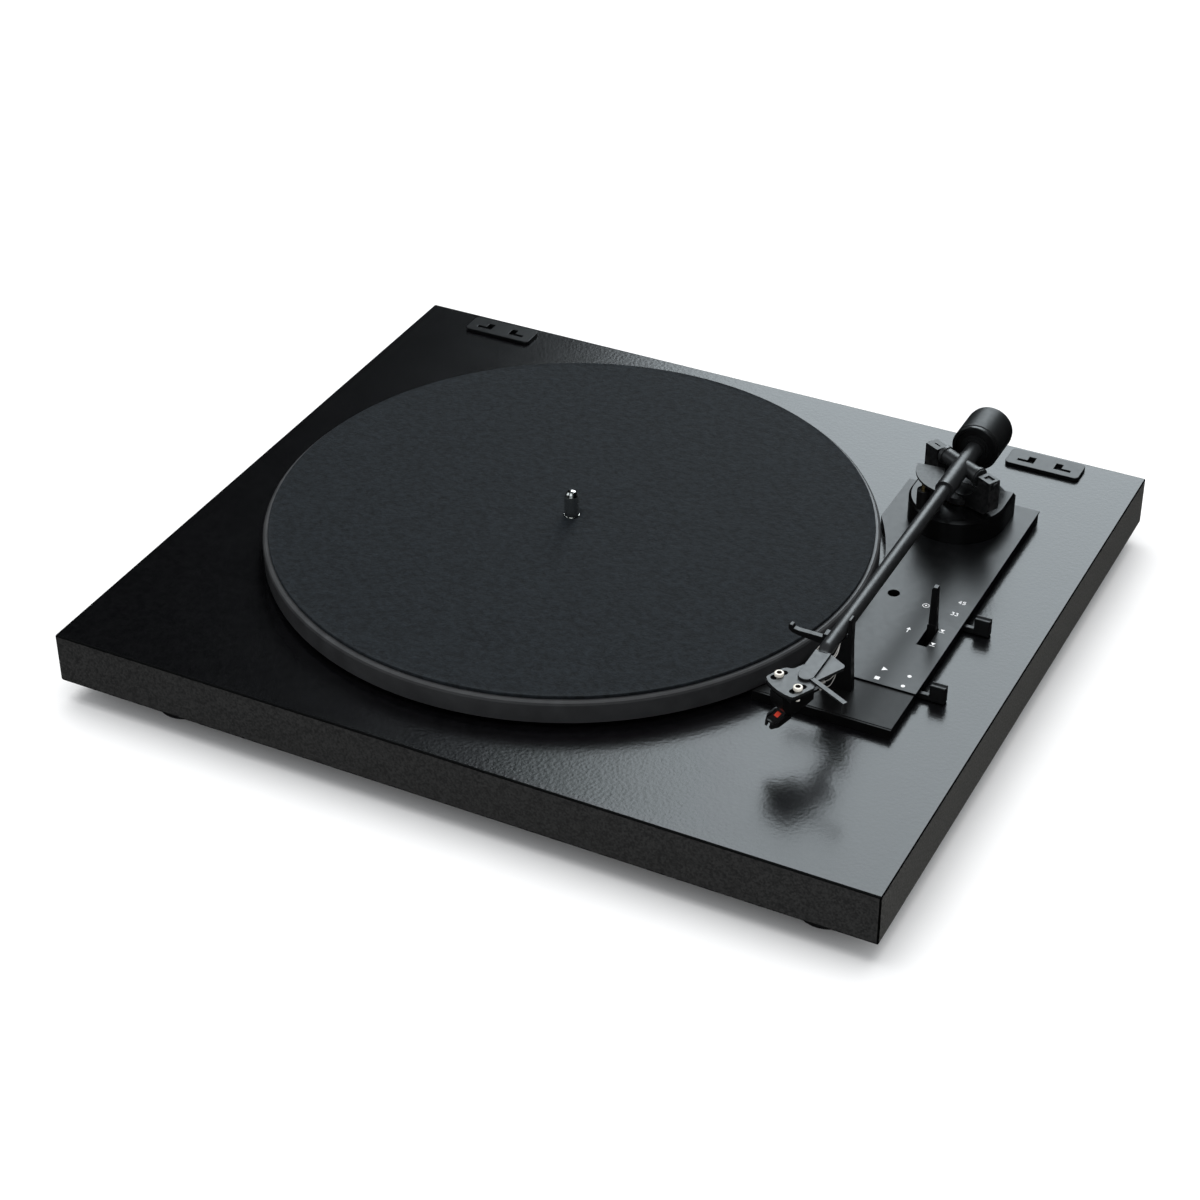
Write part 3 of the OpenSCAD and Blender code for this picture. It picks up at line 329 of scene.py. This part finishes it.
SLOT_OF = {s["node"]: s["material_slot"] for s in frame["record"]["subparts"]}
for name, obj in NODES.items():
    obj.data.materials.clear()
    obj.data.materials.append(MATERIALS[SLOT_OF[name]])


def repaint(name, made, chosen):
    """Gives the faces of a CAD node that pass chosen(centre, normal) another material."""
    data = NODES[name].data
    data.materials.append(made)
    last = len(data.materials) - 1
    place_of = NODES[name].matrix_world
    for face in data.polygons:
        if chosen(place_of @ face.center, face.normal):
            face.material_index = last


# A face counts as outside when it lies in this outer share of the plinth's half width or depth
OUTSIDE = 0.96
RIM_DEPTH = 1.2 * MM
NODES["arm_base"].data.materials[0] = HOUSING
NODES["control_base"].data.materials[0] = BASE_SATIN
# Painted highlight: the upward faces at the top of the platter's rim take the lighter rim metal
repaint("platter", RIM_PAINTED_HIGHLIGHT, lambda c, n: n.z > 0.5 and c.z > high("platter").z - RIM_DEPTH)
# Painted shade: the control base's upright faces take the darker copy of its satin
repaint("control_base", BASE_SIDE_PAINTED_SHADE, lambda c, n: abs(n.z) < 0.5)
# Painted light: the plinth's side and front faces take the lighter foil copies
repaint("plinth", FOIL_SIDE_PAINTED_LIGHT, lambda c, n: abs(n.x) > 0.5 and abs(c.x) > OUTSIDE * high("plinth").x)
repaint("plinth", FOIL_FRONT_PAINTED_LIGHT, lambda c, n: abs(n.y) > 0.5 and abs(c.y) > OUTSIDE * high("plinth").y)


# ---------- Softened edges on the CAD nodes ----------


def bevelled(obj, width, angle=32):
    """Rounds the edges sharper than angle degrees by width millimetres."""
    bevel = obj.modifiers.new("bevel", "BEVEL")
    bevel.width = width * MM
    bevel.segments = 2
    bevel.limit_method = "ANGLE"
    bevel.angle_limit = math.radians(angle)
    shade = obj.modifiers.new("shade", "WEIGHTED_NORMAL")
    shade.keep_sharp = True
    return bevel, shade


def soften(name, width, edge=None):
    """Rounds the edges of a CAD node; edge is a material for the roundings alone."""
    obj = NODES[name]
    for face in obj.data.polygons:
        face.use_smooth = True
    weld = obj.modifiers.new("weld", "WELD")
    weld.merge_threshold = 2 * MICRON
    flat = obj.modifiers.new("flat", "DECIMATE")
    flat.decimate_type = "DISSOLVE"
    flat.angle_limit = math.radians(0.8)
    flat.delimit = {"MATERIAL"}
    bevel, shade = bevelled(obj, width)
    shade.weight = 60
    # Clamped, the plinth's rounding would shrink to suit its smallest details
    bevel.use_clamp_overlap = name != "plinth"
    if edge is not None:
        obj.data.materials.append(edge)
        bevel.material = len(obj.data.materials) - 1


SOFT_EDGES = {
    "plinth": 0.8,
    "control_base": 0.3,
    "control_panel": 0.12,
    "arm_base": 0.25,
    "arm_rest": 0.35,
    "lift_guide": 0.15,
    "hinge_bracket_left": 0.3,
    "hinge_bracket_right": 0.3,
    "yoke": 0.45,
    "pivot_screws": 0.12,
    "sector_plate": 0.2,
    "headshell": 0.25,
    "cartridge_body": 0.3,
    "stylus_unit": 0.12,
    "stylus_guard": 0.18,
    "cue_lever": 0.18,
    "start_knob": 0.4,
    "speed_knob": 0.4,
    "terminal_plate": 0.2,
    "power_inlet": 0.2,
}
LINED = ("plinth", "control_panel")
for name, width in SOFT_EDGES.items():
    soften(name, width, EDGE_LINE if name in LINED else None)


# ---------- Pieces built here ----------


def new_piece(name, verts, faces, body, made, stands_for=()):
    """A mesh that rides on a body and takes the place of the CAD nodes it stands for."""
    data = bpy.data.meshes.new(name)
    data.from_pydata([tuple(v) for v in verts], [], faces)
    data.materials.append(made)
    for face in data.polygons:
        face.use_smooth = True
    obj = bpy.data.objects.new(name, data)
    bpy.context.collection.objects.link(obj)
    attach(obj, body)
    if stands_for:
        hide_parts(*stands_for)
    return obj


def grid_faces(rows, around, closed_ends=True, start=0):
    """Quads between rings of points and a flat face at each end; start is the first point's number."""
    faces = []
    for r in range(rows - 1):
        for k in range(around):
            a, b = start + r * around + k, start + r * around + (k + 1) % around
            faces.append((a, b, b + around, a + around))
    if closed_ends:
        faces.append(tuple(start + k for k in reversed(range(around))))
        faces.append(tuple(start + (rows - 1) * around + k for k in range(around)))
    return faces


def flutter(x, y, layer, per_metre):
    """Smooth noise from -1 to 1; each layer is a pattern of its own."""
    return noise.noise(Vector((x, y, layer)) * per_metre)


def felt_mat():
    """A laid sheet of felt with a soft edge and a surface that isn't quite flat."""
    lo, hi = low("felt_mat"), high("felt_mat")
    centre = (lo + hi) / 2
    outer = (hi.x - lo.x) / 2
    inner = 0.5 * (high("spindle").x - low("spindle").x) + 0.15 * MM
    thick = hi.z - lo.z
    edge = 0.5 * MM
    rings = 46
    profile = [(inner, 0), (inner, thick - 0.3 * MM), (inner + 0.25 * MM, thick)]
    profile += [(inner + (outer - inner - edge) * k / rings, thick) for k in range(1, rings)]
    for k in range(7):
        turn = math.radians(90 - 15 * k)
        profile.append((outer - edge + edge * math.cos(turn), thick - edge + edge * math.sin(turn)))
    profile += [(outer, 0.25 * MM), (outer - 0.2 * MM, 0)]
    around = 240
    verts = []
    for r, z in profile:
        for k in range(around):
            # Clockwise, so that the faces look outwards
            turn = -math.tau * k / around
            x, y = r * math.cos(turn), r * math.sin(turn)
            sink = 0
            if z >= thick - 0.01 * MM:
                sink = (0.06 - 0.05 * flutter(x, y, 0, 45) - 0.03 * flutter(x, y, 3, 190)) * MM
            ragged = 0
            if r > outer - 0.4 * MM:
                ragged = flutter(x, y, 7, 900) * 0.12 * MM
            grow = 1 + ragged / r
            verts.append(centre + Vector((x * grow, y * grow, z - thick / 2 - sink)))
    faces = grid_faces(len(profile), around, closed_ends=False)
    last = (len(profile) - 1) * around
    faces += [(last + k, last + (k + 1) % around, (k + 1) % around, k) for k in range(around)]
    obj = new_piece("felt_mat_cloth", verts, faces, "platter_unit", MATERIALS["felt"], ["felt_mat"])


def oval(y, wide, mid, tall, power, around):
    """Ring of points round the arm's axis: half widths wide and tall, squarer as power grows."""
    ring = []
    for k in range(around):
        turn = math.tau * k / around
        c, s = math.cos(turn), math.sin(turn)
        x = wide * math.copysign(abs(c) ** (2 / power), c)
        z = tall * math.copysign(abs(s) ** (2 / power), s)
        ring.append((PIVOT.x + x, y, mid + z))
    return ring


def arm_tube():
    """Drawn tube pinched down on to a flat tongue with a round front end."""
    lo, hi = low("arm_tube"), high("arm_tube")
    tube_r = hi.z - PIVOT.z
    half_w = (hi.x - lo.x) / 2
    tongue_half = 0.6 * MM
    tongue_mid = HEAD_TOP + tongue_half
    tongue_back = lo.y + 22.5 * MM
    pinch = tongue_back + 4.5 * MM
    pinch_front = tongue_back - MM
    narrower = 0.9 * MM
    flattened = tongue_half + 0.15 * MM
    around = 56
    rows = 12
    verts = oval(hi.y, tube_r, PIVOT.z, tube_r, 2, around)
    for k in range(rows - 1):
        t = k / (rows - 2)
        ease = t * t * (3 - 2 * t)
        verts += oval(
            pinch + (pinch_front - pinch) * t,
            tube_r - narrower * ease,
            PIVOT.z + (tongue_mid - PIVOT.z) * ease,
            tube_r + (flattened - tube_r) * ease,
            2 + 1.2 * ease,
            around,
        )
    faces = grid_faces(rows, around)
    start = len(verts)
    nose = lo.y + half_w
    outline = [(half_w, tongue_back), (half_w, nose + 4 * MM)]
    for degrees in range(0, 181, 6):
        turn = math.radians(degrees)
        outline.append((half_w * math.cos(turn), nose - half_w * math.sin(turn)))
    outline += [(-half_w, nose + 4 * MM), (-half_w, tongue_back)]
    for z in (tongue_mid + tongue_half, tongue_mid - tongue_half):
        verts += [(PIVOT.x + x, y, z) for x, y in outline]
    faces += grid_faces(2, len(outline), start=start)
    paint = MATERIALS["tube_metal"]
    obj = new_piece("arm_tube_drawn", verts, faces, "arm", paint, ["arm_tube"])
    bevelled(obj, 0.18, angle=40)


def head_point(x, y, z):
    """A point in the head's frame, in millimetres: forward, right and up from the plinth's top."""
    forward = Vector((math.cos(HEAD_TURN), math.sin(HEAD_TURN), 0))
    right = Vector((-forward.y, forward.x, 0))
    return Vector((SCREWS.x, SCREWS.y, PLINTH_TOP)) + (forward * x + right * y + Vector((0, 0, z))) * MM


def smooth_path(points, steps=10):
    """Catmull-Rom curve through the points."""
    ends = [2 * points[0] - points[1], *points, 2 * points[-1] - points[-2]]
    out = []
    for k in range(1, len(ends) - 2):
        a, b, c, d = ends[k - 1 : k + 3]
        slope, bend, twist = c - a, 2 * a - 5 * b + 4 * c - d, 3 * b - a - 3 * c + d
        for i in range(steps):
            t = i / steps
            out.append(0.5 * (2 * b + slope * t + bend * t * t + twist * t**3))
    out.append(points[-1])
    return out


def swept(path, radius, around, start):
    """Round tube along a path, for a mesh that has start points already."""
    verts, side = [], None
    for i, p in enumerate(path):
        ahead = (path[min(i + 1, len(path) - 1)] - path[max(i - 1, 0)]).normalized()
        if side is None:
            side = ahead.orthogonal().normalized()
        side = (side - ahead * side.dot(ahead)).normalized()
        up = ahead.cross(side)
        for k in range(around):
            turn = math.tau * k / around
            verts.append(p + side * radius * math.cos(turn) + up * radius * math.sin(turn))
    return verts, grid_faces(len(path), around, start=start)


def beside_tube(side, out, back, up):
    """A point in millimetres: out to one side of the arm, back from its pivot and up from the plinth."""
    return Vector((PIVOT.x + side * out * MM, PIVOT.y + back * MM, PLINTH_TOP + up * MM))


def cartridge_leads():
    """Four leads: a tag on each cartridge pin, then fine wire to the side of the tube."""
    tag_r, wire_r = 0.75 * MM, 0.21 * MM
    verts, faces = [], []

    def add(path, radius, around):
        more_verts, more_faces = swept(path, radius, around, len(verts))
        verts.extend(more_verts)
        faces.extend(more_faces)

    for y, side, bow in ((-2.4, -1, 2.2), (2.4, 1, 1.2)):
        # Height of the pin, rise over it, height of the bend behind it, distance beside the tube
        for z, rise, crest, out in ((27, 0.4, 32.6, 4.6), (30, 0.8, 33.4, 3.9)):
            add([head_point(-15.5, y, z), head_point(-16.6, y, z), head_point(-18.6, y, z)], tag_r, 12)
            route = [
                head_point(-18.4, y, z),
                head_point(-21.5, y * 1.3, z + rise),
                head_point(-24.5, y * bow, crest),
                beside_tube(side, out, -173, 33.7),
                beside_tube(side, out, -167.5, 34.6),
                beside_tube(side, 3.3, -161.5, 35.6),
                beside_tube(side, 2.2, -159, 36.2),
            ]
            add(smooth_path(route), wire_r, 10)
    paint = MATERIALS["lead_wire"]
    new_piece("cartridge_lead_wires", verts, faces, "arm", paint, ["cartridge_leads"])


def stylus_badge():
    """Coloured panel on the sloping nose of the stylus carrier, laid out in the head's frame."""
    along = Vector((5.6, 0, -3.3)).normalized()
    lift = Vector((3.3, 0, 5.6)).normalized()
    corner = Vector((3.2, 0, 22.6))
    near, far, half_w = 1.2, 3.8, 1.25
    verts = []
    for rise in (0.24, 0.02):
        for run, y in ((near, -half_w), (far, -half_w), (far, half_w), (near, half_w)):
            at = corner + along * run + lift * rise
            verts.append(head_point(at.x, at.y + y, at.z))
    faces = [(0, 1, 2, 3), (7, 6, 5, 4), (1, 0, 4, 5), (2, 1, 5, 6), (3, 2, 6, 7), (0, 3, 7, 4)]
    obj = new_piece("stylus_badge", verts, faces, "arm", STYLUS_RED)
    bevelled(obj, 0.18)


# ---------- Printed marks on the control panel ----------

# Height of the ink's under side and top above the panel; this section is in millimetres
INK_FOOT, INK_TOP = 0.005, 0.03


def ink(name, outlines):
    """A printed mark from outlines that run anticlockwise."""
    verts, faces = [], []
    for outline in outlines:
        base = len(verts)
        count = len(outline)
        for z in (INK_FOOT, INK_TOP):
            verts += [Vector((x * MM, y * MM, PANEL_TOP + z * MM)) for x, y in outline]
        faces.append(tuple(base + k for k in reversed(range(count))))
        faces.append(tuple(base + count + k for k in range(count)))
        for k in range(count):
            a, b = base + k, base + (k + 1) % count
            faces.append((a, b, b + count, a + count))
    obj = new_piece(name, verts, faces, "base", PRINT_WHITE)
    for face in obj.data.polygons:
        face.use_smooth = False


def on_circle(x, y, r, turn):
    return (x + r * math.cos(turn), y + r * math.sin(turn))


def disc(x, y, r, count=28):
    return [on_circle(x, y, r, math.tau * k / count) for k in range(count)]


def pointer(x, y, half_w, rise):
    """Triangle with the middle of its level base at x, y; it points down where rise is negative."""
    half_w = math.copysign(half_w, rise)
    return [(x - half_w, y), (x + half_w, y), (x, y + rise)]


def bar(x0, y0, x1, y1, width):
    """A straight stroke from one point to another."""
    run = Vector((x1 - x0, y1 - y0, 0))
    side = Vector((-run.y, run.x, 0)).normalized() * width / 2
    a, b = Vector((x0, y0, 0)), Vector((x1, y1, 0))
    return [(p.x, p.y) for p in (a - side, b - side, b + side, a + side)]


def digit(strokes, x, y, size):
    """A numeral from straight strokes on a unit box, 0.55 wide and 1 high."""
    ends = [(x + x0 * size, y + y0 * size, x + x1 * size, y + y1 * size) for x0, y0, x1, y1 in strokes]
    return [bar(*stroke, 0.42) for stroke in ends]


FOUR = [
    (0.4, 0, 0.4, 1.0),
    (0.42, 1.0, 0.0, 0.3),
    (0.0, 0.3, 0.56, 0.3),
]
FIVE = [
    (0.5, 0.93, 0.06, 0.93),
    (0.09, 0.96, 0.05, 0.5),
    (0.03, 0.55, 0.4, 0.6),
    (0.4, 0.62, 0.54, 0.36),
    (0.54, 0.4, 0.4, 0.06),
    (0.42, 0.07, 0.0, 0.07),
]
THREE = [
    (0.02, 0.93, 0.5, 0.93),
    (0.5, 0.93, 0.24, 0.58),
    (0.22, 0.58, 0.44, 0.56),
    (0.42, 0.6, 0.53, 0.34),
    (0.53, 0.36, 0.4, 0.06),
    (0.42, 0.07, 0.0, 0.08),
]


def speed_numerals():
    """45 over 33, beside the speed knob."""
    size, left = 2.5, 163.4
    strokes = []
    for first, second, y in ((FOUR, FIVE, 24.7), (THREE, THREE, 14.6)):
        strokes += digit(first, left, y, size) + digit(second, left + 0.78 * size, y, size)
    ink("speed_numerals", strokes)


def record_mark():
    """A record seen from above: its hole and a ring of ticks."""
    x, y, ticks = 150.6, 16.4, 40
    inner, outer, filled = 1.3, 1.75, 0.62
    outlines = [disc(x, y, 0.5)]
    for k in range(ticks):
        a, b = math.tau * k / ticks, math.tau * (k + filled) / ticks
        corners = ((inner, a), (outer, a), (outer, b), (inner, b))
        outlines.append([on_circle(x, y, r, turn) for r, turn in corners])
    ink("record_mark", outlines)


def lift_marks():
    """Two triangles over their stop lines: the cue lever's two ends."""
    outlines = []
    for x, y, line in ((164.8, 1.6, -0.7), (164.6, -10.1, -12.5)):
        outlines.append(pointer(x, y, 1.1, -1.8))
        outlines.append(bar(x - 1.3, line, x + 1.3, line, 0.35))
    ink("lift_marks", outlines)


def panel_marks():
    speed_numerals()
    record_mark()
    lift_marks()
    ink("lift_arrow", [bar(150.3, -7.4, 150.3, -4.8, 0.5), pointer(150.3, -5.1, 1.1, 1.8)])
    ink("start_mark", [[(150.9, -40.2), (153.5, -38.75), (150.9, -37.3)]])
    ink("stop_mark", [[(150.2, -47.6), (152.5, -47.6), (152.5, -45.3), (150.2, -45.3)]])
    ink("position_dots", [disc(164.1, -39.0, 0.95), disc(164.1, -47.1, 0.95)])


def cartridge_screws():
    """Two socket screws; the last rings of each are the wall and floor of its key recess."""
    top, bottom = high("cartridge_screws").z, low("cartridge_screws").z
    right = Vector((-math.sin(HEAD_TURN), math.cos(HEAD_TURN), 0))
    half_gap = 6.35 * MM
    around = 36
    # Height, radius in millimetres, depth of the six-sided key's waves
    rings = (
        (bottom, 1.15, 0),
        (HEAD_TOP, 1.15, 0),
        (HEAD_TOP, 2.1, 0),
        (top - 0.35 * MM, 2.1, 0),
        (top - 0.1 * MM, 1.98, 0),
        (top, 1.75, 0),
        (top, 1.2, 0),
        (top - 0.15 * MM, 1.05, 0.12),
        (top - 0.8 * MM, 1.0, 0.12),
    )
    recess = 3
    verts, faces, dark = [], [], []
    for side in (-1, 1):
        axis = SCREWS + right * side * half_gap
        start = len(verts)
        for z, radius, wave in rings:
            for k in range(around):
                turn = math.tau * k / around
                r = radius * MM * (1 - wave * (0.5 + 0.5 * math.cos(6 * turn)))
                verts.append((axis.x + r * math.cos(turn), axis.y + r * math.sin(turn), z))
        made = grid_faces(len(rings), around, start=start)
        first = (len(rings) - recess) * around
        under_side = (len(rings) - 1) * around
        # The wall and floor of each key recess take the dark brown: painted shade in the recess
        dark += [len(faces) + k for k in range(first, len(made)) if k != under_side]
        faces += made
    stands_for = ["cartridge_screws"]
    obj = new_piece("cartridge_screw_pair", verts, faces, "arm", SCREW_CREAM, stands_for)
    obj.data.materials.append(HEX_PAINTED_SHADE)
    for k in dark:
        obj.data.polygons[k].material_index = 1
    obj.data.set_sharp_from_angle(angle=math.radians(35))


cartridge_screws()
felt_mat()
arm_tube()
cartridge_leads()
stylus_badge()
panel_marks()

# ---------- Camera and studio ----------

# The camera, fitted to the plinth's corners and the platter's ellipse
TARGET = Vector((0.00798, -0.04, PLINTH_TOP))
AZIMUTH, ELEVATION, ROLL = math.radians(27.10), math.radians(34.96), math.radians(-0.41)
DISTANCE = 1.2623
LENS = 79.87


def camera():
    level = math.cos(ELEVATION)
    back = Vector((math.sin(AZIMUTH) * level, -math.cos(AZIMUTH) * level, math.sin(ELEVATION)))
    right = Vector((0, 0, 1)).cross(back).normalized()
    up = back.cross(right)
    turn = Matrix.Rotation(ROLL, 3, back)
    right, up = turn @ right, turn @ up
    data = bpy.data.cameras.new("camera")
    data.lens = LENS
    data.sensor_width = 36
    data.clip_start, data.clip_end = 0.05, 50
    obj = bpy.data.objects.new("camera", data)
    bpy.context.collection.objects.link(obj)
    facing = Matrix((right, up, back)).transposed().to_4x4()
    obj.matrix_world = Matrix.Translation(TARGET + back * DISTANCE) @ facing
    bpy.context.scene.camera = obj


def floor():
    """White floor, left out of the gloss because the photo's black parts mirror no pale floor."""
    reach = 8
    corners = [(-reach, -reach, 0), (reach, -reach, 0), (reach, reach, 0), (-reach, reach, 0)]
    data = bpy.data.meshes.new("floor")
    data.from_pydata(corners, [], [(0, 1, 2, 3)])
    ground = bpy.data.objects.new("floor", data)
    bpy.context.collection.objects.link(ground)
    made, tree, shader = material("floor_white")
    pale = blend_colour(tree, remap(tree, grain(tree, 20.0), 0, 1), (0.9, 0.9, 0.9), (0.92, 0.92, 0.92))
    wire_up(tree, shader, Base_Color=pale)
    shader.inputs["Roughness"].default_value = 1.0
    shader.inputs["Specular IOR Level"].default_value = 0.0
    data.materials.append(made)
    ground.visible_glossy = False


def sky():
    """Even light from all round, which gloss doesn't see."""
    world = bpy.data.worlds.new("studio")
    world.use_nodes = True
    background = world.node_tree.nodes["Background"]
    background.inputs["Color"].default_value = (0.97, 0.985, 1.0, 1)
    background.inputs["Strength"].default_value = 0.75
    world.cycles_visibility.glossy = False
    bpy.context.scene.world = world


def overhead():
    """Wide soft sun, which makes the shadow under the plinth."""
    sun = bpy.data.lights.new("overhead", "SUN")
    sun.energy = 2.0
    sun.angle = math.radians(58)
    lamp = bpy.data.objects.new("overhead", sun)
    bpy.context.collection.objects.link(lamp)
    lamp.rotation_euler = (math.radians(-6), math.radians(-6), 0)
    lamp.visible_glossy = False


def card(name, ahead, side, up, width, height, radiance):
    """A softbox seen only in gloss, placed from the plinth's top middle as the camera looks at it."""
    aim = Vector((0, 0, PLINTH_TOP))
    ahead_way = Vector((-math.sin(AZIMUTH), math.cos(AZIMUTH), 0))
    side_way = Vector((math.cos(AZIMUTH), math.sin(AZIMUTH), 0))
    at = aim + ahead_way * ahead + side_way * side + Vector((0, 0, up))
    light = bpy.data.lights.new(name, "AREA")
    light.shape = "RECTANGLE"
    light.size, light.size_y = width, height
    light.energy = radiance * math.pi * width * height
    light.color = (0.86, 0.95, 1.0)
    obj = bpy.data.objects.new(name, light)
    bpy.context.collection.objects.link(obj)
    obj.location = at
    obj.rotation_euler = (aim - at).to_track_quat("-Z", "Y").to_euler()
    obj.visible_diffuse = False


def studio():
    camera()
    floor()
    sky()
    overhead()
    card("back_card", 1.5, 0.5, 1.2, width=1.05, height=1.9, radiance=4.9)
    card("front_card", -1.5, -0.4, 1.3, width=1.6, height=1.2, radiance=1.6)
    card("left_card", 0.1, -1.7, 1.0, width=1.2, height=0.8, radiance=1.2)
    bpy.context.scene.view_settings.view_transform = "Standard"
    # Mirrored spots of light on matt surfaces are only noise here
    bpy.context.scene.cycles.caustics_reflective = False


studio()
